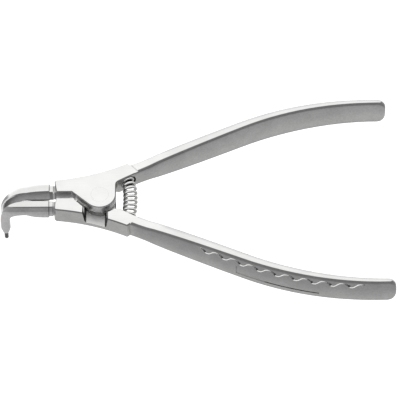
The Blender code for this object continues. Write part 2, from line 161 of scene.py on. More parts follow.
def loft(name: str, rings: list[list[Vector]]) -> bpy.types.Object:
    """Join rings of equally many points into one capped skin.

    Args:
        name: the new object's name.
        rings: the sections in order.

    Returns:
        The new object.
    """
    mesh = bmesh.new()
    loops = [[mesh.verts.new(point) for point in ring] for ring in rings]
    count = len(loops[0])
    for lower, upper in zip(loops, loops[1:]):
        for i in range(count):
            j = (i + 1) % count
            mesh.faces.new((lower[i], lower[j], upper[j], upper[i]))
    mesh.faces.new(reversed(loops[0]))
    mesh.faces.new(loops[-1])
    return from_bmesh(name, mesh)


def turned(name: str, profile: list[tuple[float, float]], sides: int, centre: Vector) -> bpy.types.Object:
    """Turn a profile about the line along Z through a centre.

    Args:
        name: the new object's name.
        profile: radius and height of each ring.
        sides: points round each ring.
        centre: where the profile's zero height lies.

    Returns:
        The new object.
    """
    angles = [math.tau * i / sides for i in range(sides)]
    rings = [[centre + Vector((r * math.cos(a), r * math.sin(a), z)) for a in angles] for r, z in profile]
    return loft(name, rings)


def path_line(name: str, points: list[Vector]) -> bpy.types.Object:
    """Make a line of edges through points, for a node tree to follow.

    Args:
        name: the object's name.
        points: the line's points in order.

    Returns:
        The new object.
    """
    data = bpy.data.meshes.new(name)
    data.from_pydata([tuple(point) for point in points], [(i, i + 1) for i in range(len(points) - 1)], [])
    return new_object(name, data)


def carve(target: bpy.types.Object, tool: bpy.types.Object, carving: Carving) -> None:
    """Sink a tool's shape into an object or join it on, and remove the tool.

    Args:
        target: the object that is changed.
        tool: the shape that is cut away or joined on.
        carving: which of the two.
    """
    modifier = target.modifiers.new(tool.name, "BOOLEAN")
    modifier.operation = carving.value
    modifier.material_mode = "TRANSFER"
    modifier.object = tool
    evaluated = target.evaluated_get(bpy.context.evaluated_depsgraph_get())
    result = bpy.data.meshes.new_from_object(evaluated)
    target.modifiers.clear()
    target.data = result
    bpy.data.objects.remove(tool, do_unlink=True)


def dress_turned(piece: bpy.types.Object, steel: bpy.types.Material) -> None:
    """Give a turned piece its steel, smooth sides and sharp rims.

    Args:
        piece: the turned piece.
        steel: its steel.
    """
    piece.data.materials.append(steel)
    piece.data.shade_smooth()
    piece.data.set_sharp_from_angle(angle=TURNED_SHARP_ANGLE)


def open_tree(name: str, sockets: dict[str, str]) -> tuple[Tree, bpy.types.Node]:
    """Start a geometry tree with named inputs.

    Args:
        name: the tree's name.
        sockets: socket type of each named input, after the geometry.

    Returns:
        The tree and its input node.
    """
    tree = bpy.data.node_groups.new(name, "GeometryNodeTree")
    tree.interface.new_socket("Geometry", in_out="INPUT", socket_type="NodeSocketGeometry")
    for label, kind in sockets.items():
        tree.interface.new_socket(label, in_out="INPUT", socket_type=kind)
    tree.interface.new_socket("Geometry", in_out="OUTPUT", socket_type="NodeSocketGeometry")
    return tree, add_node(tree, "NodeGroupInput")


def close_tree(tree: Tree, geometry: Socket, finish: Socket) -> None:
    """End a geometry tree in smooth faces, real geometry and its finish.

    Args:
        tree: the tree that gets the nodes.
        geometry: the shape's socket.
        finish: the finish's socket.
    """
    smooth = add_node(tree, "GeometryNodeSetShadeSmooth", inputs={"Geometry": geometry})
    real = add_node(tree, "GeometryNodeRealizeInstances", inputs={"Geometry": smooth.outputs[0]})
    dressed = add_node(tree, "GeometryNodeSetMaterial", inputs={
        "Geometry": real.outputs[0], "Material": finish})
    add_node(tree, "NodeGroupOutput", inputs={"Geometry": dressed.outputs[0]})


def draw_curve(node: bpy.types.Node, points: tuple[tuple[float, float], ...]) -> None:
    """Give a curve node its points.

    Args:
        node: the curve node, with its two ends as it was made.
        points: the places of the curve's points, from end to end.
    """
    curve = node.mapping.curves[0]
    for end, place in zip(curve.points, (points[0], points[-1])):
        end.location = place
    for place in points[1:-1]:
        curve.points.new(*place)
    node.mapping.update()


def run_tree(source: bpy.types.Object, tree: Tree, values: dict) -> None:
    """Run a geometry tree on an object and keep its result as a plain mesh.

    Args:
        source: the object that the tree starts from.
        tree: the geometry tree.
        values: the value of each named input.
    """
    modifier = source.modifiers.new(tree.name, "NODES")
    modifier.node_group = tree
    for item in tree.interface.items_tree:
        if item.in_out == "INPUT" and item.name in values:
            modifier[item.identifier] = values[item.name]
    evaluated = source.evaluated_get(bpy.context.evaluated_depsgraph_get())
    result = bpy.data.meshes.new_from_object(evaluated)
    source.modifiers.remove(modifier)
    source.data = result


def zone(tree: Tree, *limits: tuple[Socket, float, float]) -> Socket:
    """Multiply smooth ramps into one mask.

    Args:
        tree: the tree that gets the nodes.
        limits: for each ramp its value, where it is 0 and where it is 1.

    Returns:
        The mask's socket.
    """
    mask = None
    for value, none, full in limits:
        ramp = add_node(tree, "ShaderNodeMapRange", {"interpolation_type": "SMOOTHSTEP"}, {
            "Value": value, "From Min": none, "From Max": full}).outputs["Result"]
        mask = ramp if mask is None else add_node(tree, "ShaderNodeMath", {"operation": "MULTIPLY"}, {
            0: mask, 1: ramp}).outputs[0]
    return mask


def layered(tree: Tree, base: str, *layers: tuple[Socket, str]) -> Socket:
    """Lay colours over a base colour by their masks.

    Args:
        tree: the tree that gets the nodes.
        base: the lowest colour, in hex.
        layers: mask and colour of each layer, from the lowest up.

    Returns:
        The colour's socket.
    """
    colour = srgb(base)
    for mask, code in layers:
        colour = add_node(tree, "ShaderNodeMix", {"data_type": "RGBA"}, {
            0: mask, 6: colour, 7: srgb(code)}).outputs[2]
    return colour


def join_metal(tree: Tree, colour: Socket, roughness: Socket, bump: Socket) -> None:
    """Make the tree's own surface a metal.

    Args:
        tree: the material's tree.
        colour: the colour's socket.
        roughness: the roughness's socket.
        bump: the bumped normal's socket.
    """
    surface = tree.nodes["Principled BSDF"]
    surface.inputs["Metallic"].default_value = 1.0
    for name, socket in (("Base Color", colour), ("Roughness", roughness), ("Normal", bump)):
        tree.links.new(socket, surface.inputs[name])


@dataclass(frozen=True)
class LeverPlaces:
    """Sockets for where a point of a lever lies, in metres, and for how far its face looks each way.

    Attributes:
        point: the point itself.
        x: place along the tool, negative at the noses.
        z: height.
        beside: distance from the middle sideways.
        above: height over the middle plane.
        off_middle: distance from the middle plane.
        slant: place across the tool, along the slant that the lower nose's bright top ends at.
        taper: height over the middle plane, less what the nose's taper adds towards its tip.
        turn: sideways place times height over the middle plane, below 0 on the lobes.
        outward: sideways place times across, above 0 on the levers' outer sides.
        lengthways: how far the face looks along the tool, either way.
        sideways: how far it looks sideways, either way.
        up: how far it looks up or down.
        across: how far it looks towards the upper lever.
        skyward: how far it looks up.
        tilt: how far it looks up or down, with painted light added for edges that look towards the upper
            lever.
    """

    point: Socket
    x: Socket
    z: Socket
    beside: Socket
    above: Socket
    off_middle: Socket
    slant: Socket
    taper: Socket
    turn: Socket
    outward: Socket
    lengthways: Socket
    sideways: Socket
    up: Socket
    across: Socket
    skyward: Socket
    tilt: Socket


@dataclass(frozen=True)
class LeverMasks:
    """Sockets of masks that are 1 in a region of a lever and 0 outside it.

    Attributes:
        nose: the nose, in front of the neck.
        broken: the broken edges of the noses' inner flats.
        under: the lower nose under its painted bright top.
        neck: the top of the neck, between the nose and the cheek.
        flat: the inner flats in front of the joint.
        joint: the joint's length.
        wall: the joint's upright walls.
        lobe: those of them that belong to the lobes.
        floor: the pockets' floors.
        edge: the rounded edges that look away from the upper lever, painted dark as shade.
        ground: what is ground bright, with the painted light on the far edges, the step and the noses' tops.
        gap: what is painted dark as shade.
    """

    nose: Socket
    broken: Socket
    under: Socket
    neck: Socket
    flat: Socket
    joint: Socket
    wall: Socket
    lobe: Socket
    floor: Socket
    edge: Socket
    ground: Socket
    gap: Socket


@dataclass(frozen=True)
class LeverRamps:
    """Where the masks of a lever's regions are 0 and where they are 1."""

    # Along the tool, from the nose's tip to the handle.
    top_line_tip: Ramp = (-38.5 * MM, -37.5 * MM)
    flat_line_bend: Ramp = (-33.5 * MM, -32.0 * MM)
    flat_shade_front: Ramp = (-22.2 * MM, -21.9 * MM)
    groove_front: Ramp = (-20.65 * MM, -20.55 * MM)
    nose: Ramp = (-20.4 * MM, -20.6 * MM)
    neck_line: Ramp = (-20.0 * MM, -19.9 * MM)
    groove_rear: Ramp = (-19.75 * MM, -19.85 * MM)
    neck_rear: Ramp = (-19.3 * MM, -19.4 * MM)
    flat_shade_rear: Ramp = (-19.1 * MM, -19.3 * MM)
    front_wall_rear: Ramp = (-18.4 * MM, -18.6 * MM)
    joint_front: Ramp = (-13.2 * MM, -12.8 * MM)
    flat_rear: Ramp = (-11.8 * MM, -12.3 * MM)
    foot_rear: Ramp = (-2.0 * MM, -4.0 * MM)
    joint_rear: Ramp = (7.6 * MM, 7.4 * MM)
    handle: Ramp = (12.0 * MM, 18.0 * MM)
    step_front: Ramp = (13.0 * MM, 14.0 * MM)
    step_rear: Ramp = (30.0 * MM, 28.0 * MM)
    far_edge: Ramp = (26.0 * MM, 30.0 * MM)
    strip: Ramp = (26.0 * MM, 34.0 * MM)
    # Away from the middle, sideways.
    broken_side: Ramp = (2.9 * MM, 2.6 * MM)
    flat_side: Ramp = (3.0 * MM, 2.6 * MM)
    end_wall_side: Ramp = (6.2 * MM, 6.8 * MM)
    wall_side: Ramp = (8.6 * MM, 8.2 * MM)
    # Over the middle plane, then away from it either way.
    outer_shade: Ramp = (-9.0 * MM, 4.5 * MM)
    inner_shade: Ramp = (-4.0 * MM, 6.0 * MM)
    flat_line: Ramp = (-3.1 * MM, -3.4 * MM)
    foot_height: Ramp = (2.3 * MM, 1.9 * MM)
    floor_height: Ramp = (2.6 * MM, 2.4 * MM)
    step_height: Ramp = (4.25 * MM, 4.40 * MM)
    # Along the slant.
    leg: Ramp = (-8.9 * MM, -9.5 * MM)
    # Of a place's products: outward, and turn.
    outer: Ramp = (-0.5 * MM, 0.5 * MM)
    lobe: Ramp = (0.4 * MM * MM, -0.4 * MM * MM)
    # Round the spring's bore: past its radius, out of its mouth and past its floor.
    bore_wall: Ramp = (0.15 * MM, 0.05 * MM)
    bore_mouth: Ramp = (-0.02 * MM, -0.15 * MM)
    bore_floor: Ramp = (-3.2 * MM, -3.0 * MM)
    # How far a face looks one way, as a share.
    ground_tilt: Ramp = (0.83, 0.955)
    top_up: Ramp = (0.40, 0.55)
    top_lengthways: Ramp = (0.80, 0.60)
    step_lengthways: Ramp = (0.50, 0.62)
    broken_off_flat: Ramp = (0.96, 0.88)
    broken_off_top: Ramp = (0.3, 0.5)
    broken_straight: Ramp = (0.35, 0.25)
    broken_bend: Ramp = (0.25, 0.45)
    top_line_across: Ramp = (0.0, -0.2)
    flat_up: Ramp = (0.7, 0.4)
    neck_up: Ramp = (0.45, 0.60)
    front_wall_lengthways: Ramp = (0.45, 0.65)
    front_wall_across: Ramp = (-0.2, -0.1)
    wall_up: Ramp = (0.8, 0.5)
    end_wall_lengthways: Ramp = (0.45, 0.60)
    floor_up: Ramp = (0.80, 0.90)
    edge_up: Ramp = (0.10, 0.40)
    edge_across: Ramp = (0.2, -0.2)
    far_edge_least: Ramp = (0.04, 0.12)
    far_edge_most: Ramp = (0.62, 0.50)
    far_edge_skyward: Ramp = (0.3, 0.5)


@dataclass(frozen=True)
class ForgedSteel:
    """Nickel-chromed tool steel: forged and satin on its sides, ground bright on its flats.

    The forged sides are blasted before plating, so they look mid grey and soft; the handles' sides are a
    little darker towards their top, as painted shade. The flats are ground after it, so they are nearly
    white, with fine lines, and a little greyer along the handles. The noses are turned, with rings across
    their tops; their bright tops are painted highlight and their grey sides painted shade, lighter low on the
    lower nose as painted light, with painted shade lines under the lower one's top and low on both inner
    flats. The rounded edges are painted dark as shade, and the inner flats are painted lighter behind the
    noses and darker on them, as light and shade.
    On top of the neck a painted grey shade line lies between the nose's bright end and the cheek's front
    wall, which is painted bright as a reflection, and the groove's sides are painted light grey as light. The
    joint's walls are painted dark on the lands and lighter on the lobes, as shade and light, with a painted
    highlight line at the lobes' foot. The spring's bores and the pockets' end walls are painted dark as
    shade, and so are the corners outside the joint.
    The grain and the lines are drawn coarser than blasting and grinding leave them, so that they show.

    Attributes:
        grain: width of the blasted grain.
        grind_line: width of the grinding lines.
        grind_rate: how often the lines' shape changes along them, per metre.
        turned_ring: width of the turned rings.
        cloud_rate: how often the plating's faint clouds change, per metre.
        darkest: the darkest share of the colour in the grain, then in the ground lines.
        lightest: the lightest share of the colour.
        corner_reach: how near another face must be for the painted shade to darken a corner.
        bore_seat: middle of the spring's bore in the upper lever's wall.
        bore_way: the way out of that bore.
        far_edge_light: how much more an edge that looks towards the upper lever counts as ground, as painted
            light.
        top_slope: slope of the slant that the lower nose's painted highlight on top ends at.
        top_end: where on that slant it ends.
        top_fade: how softly the bright top ends, to either side.
        top_line: how far under the top's end its painted shade line is gone, then how far it is full.
        under_fade: how softly the region under the top starts.
        neck_fade: how softly the neck's top starts.
        nose_taper: how much the painted shade line on a nose's inner flat rises for each metre towards the
            tip.
    """

    ground: str = "E9E9E8"
    strip: str = "E2E2E1"
    side: str = "A0A09F"
    # Painted shade: the handles' outer and inner sides darken towards their top.
    side_top_shade: str = "848484"
    inner_top_shade: str = "929292"
    # Painted shade: the dark grey of the rounded edges, the shade behind the noses' flats and the lines on
    # the noses.
    edge: str = "727272"
    # Painted highlight on the turned noses' and neck's tops, painted shade on the noses' sides.
    nose_top_highlight: str = "E3E3E2"
    nose_side_shade: str = "8C8C8C"
    # Painted reflection: a light grey line round the noses' bends and along the handles' far edges.
    reflection_line: str = "D6D6D6"
    # Painted light: a lighter grey low on the lower nose's side and on the neck groove's sides.
    leg: str = "A8A8A8"
    # Painted light and shade on the inner flats: darker on the noses, lighter behind them.
    inner: str = "909090"
    throat: str = "B0B0B0"
    # Painted light and shade on the joint's walls: lighter on the lobes, dark on the lands under them.
    lobe_wall: str = "ABABAB"
    land_wall: str = "7A7A7A"
    # Painted shade: the dark of the bores, the pockets' end walls and the line under the upper nose's flat.
    gap: str = "3A3A3A"
    ground_roughness: float = 0.30
    side_roughness: float = 0.46
    floor_roughness: float = 0.48
    grain: float = 0.8 * MM
    grind_line: float = 0.16 * MM
    grind_rate: float = 60.0
    turned_ring: float = 0.55 * MM
    cloud_rate: float = 120.0
    darkest: tuple[float, float] = (0.86, 0.975)
    lightest: float = 1.05
    corner_reach: float = 1.6 * MM
    bore_seat: tuple[float, float, float] = (0.0126, 0.00966, MIDDLE_Z)
    bore_way: tuple[float, float, float] = (0.5, -0.866, 0.0)
    bore_radius: float = 0.0036
    far_edge_light: float = 0.3
    top_slope: float = 0.727
    top_end: float = -6.35 * MM
    top_fade: float = 0.12 * MM
    top_line: tuple[float, float] = (0.75 * MM, 0.6 * MM)
    under_fade: float = 0.1 * MM
    neck_fade: float = 0.2 * MM
    nose_taper: float = 0.047
    ramps: LeverRamps = LeverRamps()

    def places(self, tree: Tree) -> LeverPlaces:
        """Read where a point of a lever lies and which way its face looks.

        Args:
            tree: the tree that gets the nodes.

        Returns:
            The sockets.
        """
        where = add_node(tree, "ShaderNodeTexCoord")
        x, y, z = add_node(tree, "ShaderNodeSeparateXYZ", inputs={0: where.outputs["Object"]}).outputs
        along, across, skyward = add_node(tree, "ShaderNodeSeparateXYZ", inputs={
            0: where.outputs["Normal"]}).outputs
        beside, lengthways, sideways, up = (
            add_node(tree, "ShaderNodeMath", {"operation": "ABSOLUTE"}, {0: socket}).outputs[0]
            for socket in (y, along, across, skyward))
        above = add_node(tree, "ShaderNodeMath", {"operation": "SUBTRACT"}, {0: z, 1: MIDDLE_Z}).outputs[0]
        off_middle = add_node(tree, "ShaderNodeMath", {"operation": "ABSOLUTE"}, {0: above}).outputs[0]
        tilt, slant, taper = (
            add_node(tree, "ShaderNodeMath", {"operation": "MULTIPLY_ADD"}, {
                0: socket, 1: share, 2: base}).outputs[0]
            for socket, share, base in (
                (across, self.far_edge_light, up), (z, self.top_slope, y), (x, self.nose_taper, above)))
        turn, outward = (
            add_node(tree, "ShaderNodeMath", {"operation": "MULTIPLY"}, {0: y, 1: socket}).outputs[0]
            for socket in (above, across))
        return LeverPlaces(
            point=where.outputs["Object"], x=x, z=z, beside=beside, above=above, off_middle=off_middle,
            slant=slant, taper=taper, turn=turn, outward=outward, lengthways=lengthways,
            sideways=sideways, up=up, across=across, skyward=skyward, tilt=tilt)

    def masks(self, tree: Tree, at: LeverPlaces) -> LeverMasks:
        """Mask the regions of a lever.

        Args:
            tree: the tree that gets the nodes.
            at: the lever's places.

        Returns:
            The masks.
        """
        ramp = self.ramps
        nose = zone(tree, (at.x, *ramp.nose))
        joint = zone(tree, (at.x, *ramp.joint_rear), (at.x, *ramp.joint_front))
        broken = zone(tree, (nose, *INSIDE), (at.sideways, *ramp.broken_off_flat), (
            at.sideways, *ramp.broken_off_top), (at.beside, *ramp.broken_side))
        ground = self.ground_mask(tree, at, nose, broken)
        wall = zone(tree, (joint, *INSIDE), (at.beside, *ramp.wall_side), (at.up, *ramp.wall_up))
        return LeverMasks(
            nose=nose, broken=broken, joint=joint, ground=ground, wall=wall,
            under=zone(tree, (nose, *INSIDE), (broken, *OUTSIDE), (
                at.slant, self.top_end, self.top_end - self.under_fade)),
            neck=zone(
                tree, (at.x, *ramp.groove_front), (at.x, *ramp.neck_rear), (at.up, *ramp.neck_up),
                (at.slant, self.top_end, self.top_end + self.neck_fade)),
            flat=zone(tree, (at.x, *ramp.flat_rear), (at.beside, *ramp.flat_side), (
                at.up, *ramp.flat_up)),
            lobe=zone(tree, (wall, *INSIDE), (at.turn, *ramp.lobe)),
            floor=zone(tree, (joint, *INSIDE), (at.off_middle, *ramp.floor_height), (
                at.up, *ramp.floor_up)),
            edge=zone(tree, (ground, *OUTSIDE), (at.up, *ramp.edge_up), (nose, *OUTSIDE), (
                at.across, *ramp.edge_across)),
            gap=self.gap_mask(tree, at, joint))

    def ground_mask(self, tree: Tree, at: LeverPlaces, nose: Socket, broken: Socket) -> Socket:
        """Mask what is painted bright: the ground cheeks and handles' edges, and as painted light their far
        edges, the step between them and the noses' tops.

        Args:
            tree: the tree that gets the nodes.
            at: the lever's places.
            nose: the noses' mask.
            broken: the mask of their flats' broken edges.

        Returns:
            The mask's socket.
        """
        ramp = self.ramps
        flats = zone(tree, (nose, *OUTSIDE), (at.tilt, *ramp.ground_tilt))
        tops = zone(
            tree, (nose, *INSIDE), (broken, *OUTSIDE), (at.up, *ramp.top_up),
            (at.lengthways, *ramp.top_lengthways),
            (at.slant, self.top_end - self.top_fade, self.top_end + self.top_fade))
        step = zone(tree, (at.x, *ramp.step_front), (at.x, *ramp.step_rear), (
            at.off_middle, *ramp.step_height), (at.lengthways, *ramp.step_lengthways))
        total = add_node(tree, "ShaderNodeMath", {"operation": "MAXIMUM"}, {0: flats, 1: tops})
        return add_node(tree, "ShaderNodeMath", {"operation": "MAXIMUM"}, {
            0: total.outputs[0], 1: step}).outputs[0]

    def gap_mask(self, tree: Tree, at: LeverPlaces, joint: Socket) -> Socket:
        """Mask what is painted dark as shade: the spring's bores and the pockets' end walls.

        Args:
            tree: the tree that gets the nodes.
            at: the lever's places.
            joint: the joint's mask.

        Returns:
            The mask's socket.
        """
        ramp = self.ramps
        folded = add_node(tree, "ShaderNodeCombineXYZ", inputs={0: at.x, 1: at.beside, 2: at.z})
        from_seat = add_node(tree, "ShaderNodeVectorMath", {"operation": "SUBTRACT"}, {
            0: folded.outputs[0], 1: self.bore_seat})
        depth = add_node(tree, "ShaderNodeVectorMath", {"operation": "DOT_PRODUCT"}, {
            0: from_seat.outputs[0], 1: self.bore_way}).outputs["Value"]
        aside = add_node(tree, "ShaderNodeVectorMath", {"operation": "CROSS_PRODUCT"}, {
            0: from_seat.outputs[0], 1: self.bore_way})
        off_axis = add_node(tree, "ShaderNodeVectorMath", {"operation": "LENGTH"}, {
            0: aside.outputs[0]}).outputs["Value"]
        bore = zone(
            tree, (off_axis, self.bore_radius + ramp.bore_wall[0], self.bore_radius + ramp.bore_wall[1]),
            (depth, *ramp.bore_mouth), (depth, *ramp.bore_floor))
        end_walls = zone(tree, (joint, *INSIDE), (at.lengthways, *ramp.end_wall_lengthways), (
            at.beside, *ramp.end_wall_side))
        return add_node(tree, "ShaderNodeMath", {"operation": "MAXIMUM"}, {
            0: bore, 1: end_walls}).outputs[0]

    def colour(self, tree: Tree, at: LeverPlaces, mask: LeverMasks) -> Socket:
        """Lay the colours of a lever's regions over one another.

        Args:
            tree: the tree that gets the nodes.
            at: the lever's places.
            mask: the lever's masks.

        Returns:
            The colour's socket.
        """
        ramp = self.ramps
        return layered(
            tree, self.side,
            # The handles' outer and inner sides, darker towards their top as painted shade.
            (zone(tree, (at.x, *ramp.handle), (at.above, *ramp.outer_shade), (
                at.outward, *ramp.outer)), self.side_top_shade),
            (zone(tree, (at.x, *ramp.handle), (at.above, *ramp.inner_shade), (
                at.outward, *ramp.outer[::-1])), self.inner_top_shade),
            # Painted shade: the rounded edges are darkened.
            (mask.edge, self.edge),
            # Painted shade: the noses' sides are grey.
            (mask.nose, self.nose_side_shade),
            # Painted light: the lower nose's side is lighter low down.
            (zone(tree, (mask.under, *INSIDE), (at.slant, *ramp.leg)), self.leg),
            # Painted shade and light: the joint's walls dark, the lobes' walls lighter.
            (mask.wall, self.land_wall),
            (mask.lobe, self.lobe_wall),
            # The inner flats behind the nose and on it, painted lighter and darker as light and shade, the
            # painted shade between them and the painted shade line below.
            (zone(tree, (mask.flat, *INSIDE), (mask.nose, *OUTSIDE)), self.throat),
            (zone(tree, (mask.flat, *INSIDE), (mask.nose, *INSIDE)), self.inner),
            (zone(tree, (mask.flat, *INSIDE), (at.x, *ramp.flat_shade_front), (
                at.x, *ramp.flat_shade_rear)), self.edge),
            (zone(tree, (mask.flat, *INSIDE), (mask.nose, *INSIDE), (at.taper, *ramp.flat_line), (
                at.x, *ramp.flat_line_bend)), self.gap),
            # A painted shade line under the lower nose's top.
            (zone(tree, (mask.under, *INSIDE), (
                at.slant, self.top_end - self.top_line[0], self.top_end - self.top_line[1]), (
                at.across, *ramp.top_line_across), (at.x, *ramp.top_line_tip)), self.edge),
            # The cheeks, the handles' edges and a painted reflection line on their far sides.
            (zone(tree, (mask.ground, *INSIDE), (mask.nose, *OUTSIDE)), self.ground),
            (zone(tree, (mask.ground, *INSIDE), (at.x, *ramp.strip)), self.strip),
            (zone(tree, (at.x, *ramp.far_edge), (at.across, *ramp.far_edge_least), (
                at.across, *ramp.far_edge_most), (at.skyward, *ramp.far_edge_skyward)), self.reflection_line),
            # The noses' tops, as painted highlight, and their flats' broken edges: painted shade along the
            # nose, a painted highlight round its bend.
            (zone(tree, (mask.ground, *INSIDE), (mask.nose, *INSIDE)), self.nose_top_highlight),
            (zone(tree, (mask.broken, *INSIDE), (at.lengthways, *ramp.broken_straight)), self.edge),
            (zone(tree, (mask.broken, *INSIDE), (at.lengthways, *ramp.broken_bend)), self.reflection_line),
            # The neck's groove, painted lighter as light, its top as painted highlight, a painted grey shade
            # line behind that, and the cheek's front wall, painted bright as a reflection.
            (zone(tree, (at.x, *ramp.groove_front), (at.x, *ramp.groove_rear)), self.leg),
            (zone(tree, (mask.neck, *INSIDE), (at.x, *ramp.neck_line[::-1])), self.nose_top_highlight),
            (zone(tree, (mask.neck, *INSIDE), (at.x, *ramp.neck_line), (at.x, *ramp.neck_rear)), self.side),
            (zone(tree, (at.x, *ramp.neck_rear[::-1]), (at.x, *ramp.front_wall_rear), (
                at.lengthways, *ramp.front_wall_lengthways), (
                at.slant, self.top_end, self.top_end + self.neck_fade), (
                at.across, *ramp.front_wall_across)), self.ground),
            # A painted highlight line at the foot of the lobe's wall.
            (zone(tree, (mask.lobe, *INSIDE), (at.off_middle, *ramp.foot_height), (
                at.x, *ramp.foot_rear)), self.ground),
            # Painted shade in the spring's bores and the pockets' end walls.
            (mask.gap, self.gap))

    def relief(self, tree: Tree, at: LeverPlaces, mask: LeverMasks) -> Socket:
        """Draw the blasted grain, the grinding lines and the turned rings.

        Args:
            tree: the tree that gets the nodes.
            at: the lever's places.
            mask: the lever's masks.

        Returns:
            The relief's socket.
        """
        grain = add_node(tree, "ShaderNodeTexNoise", inputs={
            "Vector": at.point, "Scale": 1 / self.grain, "Detail": 3.0, "Roughness": 0.6})
        stretched = add_node(tree, "ShaderNodeMapping", inputs={
            "Vector": at.point, "Scale": (self.grind_rate, 1 / self.grind_line, 1 / self.grind_line)})
        lines = add_node(tree, "ShaderNodeTexNoise", inputs={
            "Vector": stretched.outputs[0], "Scale": 1.0, "Detail": 2.0})
        # A wave texture turns 20 radians for each unit of its scale.
        rings = add_node(tree, "ShaderNodeTexWave", {"bands_direction": "X", "wave_profile": "SIN"}, {
            "Vector": at.point, "Scale": 0.05 / self.turned_ring * math.tau,
            "Distortion": 0.6, "Detail": 1.0})
        marks = add_node(tree, "ShaderNodeMix", inputs={
            0: mask.nose, 2: lines.outputs["Fac"], 3: rings.outputs["Fac"]}).outputs[0]
        return add_node(tree, "ShaderNodeMix", inputs={
            0: mask.ground, 2: grain.outputs["Fac"], 3: marks}).outputs[0]

    def tones(self, tree: Tree, at: LeverPlaces, mask: LeverMasks, relief: Socket) -> tuple[Socket, Socket]:
        """Work out how much clouds, relief and painted corner shade take from the colour.

        Args:
            tree: the tree that gets the nodes.
            at: the lever's places.
            mask: the lever's masks.
            relief: the relief's socket.

        Returns:
            Sockets of the clouds alone and of all of it.
        """
        clouds = add_node(tree, "ShaderNodeTexNoise", inputs={
            "Vector": at.point, "Scale": self.cloud_rate, "Detail": 4.0})
        darkest = add_node(tree, "ShaderNodeMix", inputs={
            0: mask.ground, 2: self.darkest[0], 3: self.darkest[1]}).outputs[0]
        cloudy, fine = (
            add_node(tree, "ShaderNodeMapRange", inputs={
                "Value": pattern, "From Min": NOISE_SPREAD[0], "From Max": NOISE_SPREAD[1],
                "To Min": darkest, "To Max": self.lightest}).outputs[0]
            for pattern in (clouds.outputs["Fac"], relief))
        tone = add_node(tree, "ShaderNodeMath", {"operation": "MULTIPLY"}, {0: cloudy, 1: fine})
        # Painted shade darkens the corners everywhere but inside the joint.
        corner = add_node(tree, "ShaderNodeAmbientOcclusion", {"samples": 8}, {"Distance": self.corner_reach})
        corner_shade = add_node(tree, "ShaderNodeMapRange", inputs={
            "Value": corner.outputs["AO"], "From Min": 0.1, "From Max": 0.8, "To Min": 0.7, "To Max": 1.0})
        corner_shade_outside_joint = add_node(tree, "ShaderNodeMix", inputs={0: mask.joint, 2: corner_shade.outputs[0], 3: 1.0})
        dimmed = add_node(tree, "ShaderNodeMath", {"operation": "MULTIPLY"}, {
            0: tone.outputs[0], 1: corner_shade_outside_joint.outputs[0]})
        return cloudy, dimmed.outputs[0]

    def material(self) -> bpy.types.Material:
        """Build the steel.

        Returns:
            The new material.
        """
        material = bpy.data.materials.new("forged_nickel_chromed_steel")
        material.use_nodes = True
        tree = material.node_tree
        at = self.places(tree)
        mask = self.masks(tree, at)
        relief = self.relief(tree, at, mask)
        cloudy, dimmed = self.tones(tree, at, mask, relief)
        final = add_node(tree, "ShaderNodeVectorMath", {"operation": "SCALE"}, {
            0: self.colour(tree, at, mask), "Scale": dimmed})
        smooth = add_node(tree, "ShaderNodeMix", inputs={
            0: mask.ground, 2: self.side_roughness, 3: self.ground_roughness}).outputs[0]
        rough = add_node(tree, "ShaderNodeMix", inputs={
            0: mask.floor, 2: smooth, 3: self.floor_roughness}).outputs[0]
        worn = add_node(tree, "ShaderNodeMath", {"operation": "MULTIPLY"}, {0: rough, 1: cloudy})
        bump = add_node(tree, "ShaderNodeBump", inputs={
            "Height": relief, "Strength": 0.35, "Distance": 0.04 * MM})
        join_metal(tree, final.outputs[0], worn.outputs[0], bump.outputs[0])
        return material


@dataclass(frozen=True)
class PlainSteel:
    """Steel of one colour with the fine lines of its making, and a painted highlight where the face looks up
    or down.

    The lines are drawn coarser than they are, so that they show.

    Attributes:
        name: the material's name.
        colour: its colour.
        roughness: its roughness.
        painted_highlight: its colour as painted highlight where the face looks up or down, if that is another
            one.
        line: width of the lines.
    """

    name: str
    colour: str
    roughness: float
    painted_highlight: str = ""
    line: float = 0.3 * MM

    def material(self) -> bpy.types.Material:
        """Build the steel.

        Returns:
            The new material.
        """
        material = bpy.data.materials.new(self.name)
        material.use_nodes = True
        tree = material.node_tree
        where = add_node(tree, "ShaderNodeTexCoord")
        lines = add_node(tree, "ShaderNodeTexNoise", inputs={
            "Vector": where.outputs["Object"], "Scale": 1 / self.line, "Detail": 3.0})
        tone = add_node(tree, "ShaderNodeMapRange", inputs={
            "Value": lines.outputs["Fac"], "From Min": NOISE_SPREAD[0], "From Max": NOISE_SPREAD[1],
            "To Min": 0.90, "To Max": 1.06})
        facing = add_node(tree, "ShaderNodeSeparateXYZ", inputs={0: where.outputs["Normal"]})
        up = add_node(tree, "ShaderNodeMath", {"operation": "ABSOLUTE"}, {0: facing.outputs["Z"]})
        # Painted highlight where the face looks up or down.
        bright = zone(tree, (up.outputs[0], 0.25, 0.85))
        colour = layered(tree, self.colour, (bright, self.painted_highlight or self.colour))
        toned = add_node(tree, "ShaderNodeVectorMath", {"operation": "SCALE"}, {
            0: colour, "Scale": tone.outputs[0]})
        rough = add_node(tree, "ShaderNodeMath", {"operation": "MULTIPLY"}, {
            0: tone.outputs[0], 1: self.roughness})
        bump = add_node(tree, "ShaderNodeBump", inputs={
            "Height": lines.outputs["Fac"], "Strength": 0.2, "Distance": 0.02 * MM})
        join_metal(tree, toned.outputs[0], rough.outputs[0], bump.outputs[0])
        return material


# Drawn and bare: mid grey round the coil, with a painted highlight, nearly white, where a turn looks up or
# down.
SPRING_WIRE = PlainSteel("drawn_spring_wire", colour="8E8E8D", roughness=0.24, painted_highlight="EAEAE9")
# Hardened and blackened: nearly black, with a dull shine.
PIN_STEEL = PlainSteel("blackened_pin_steel", colour="414145", roughness=0.38)
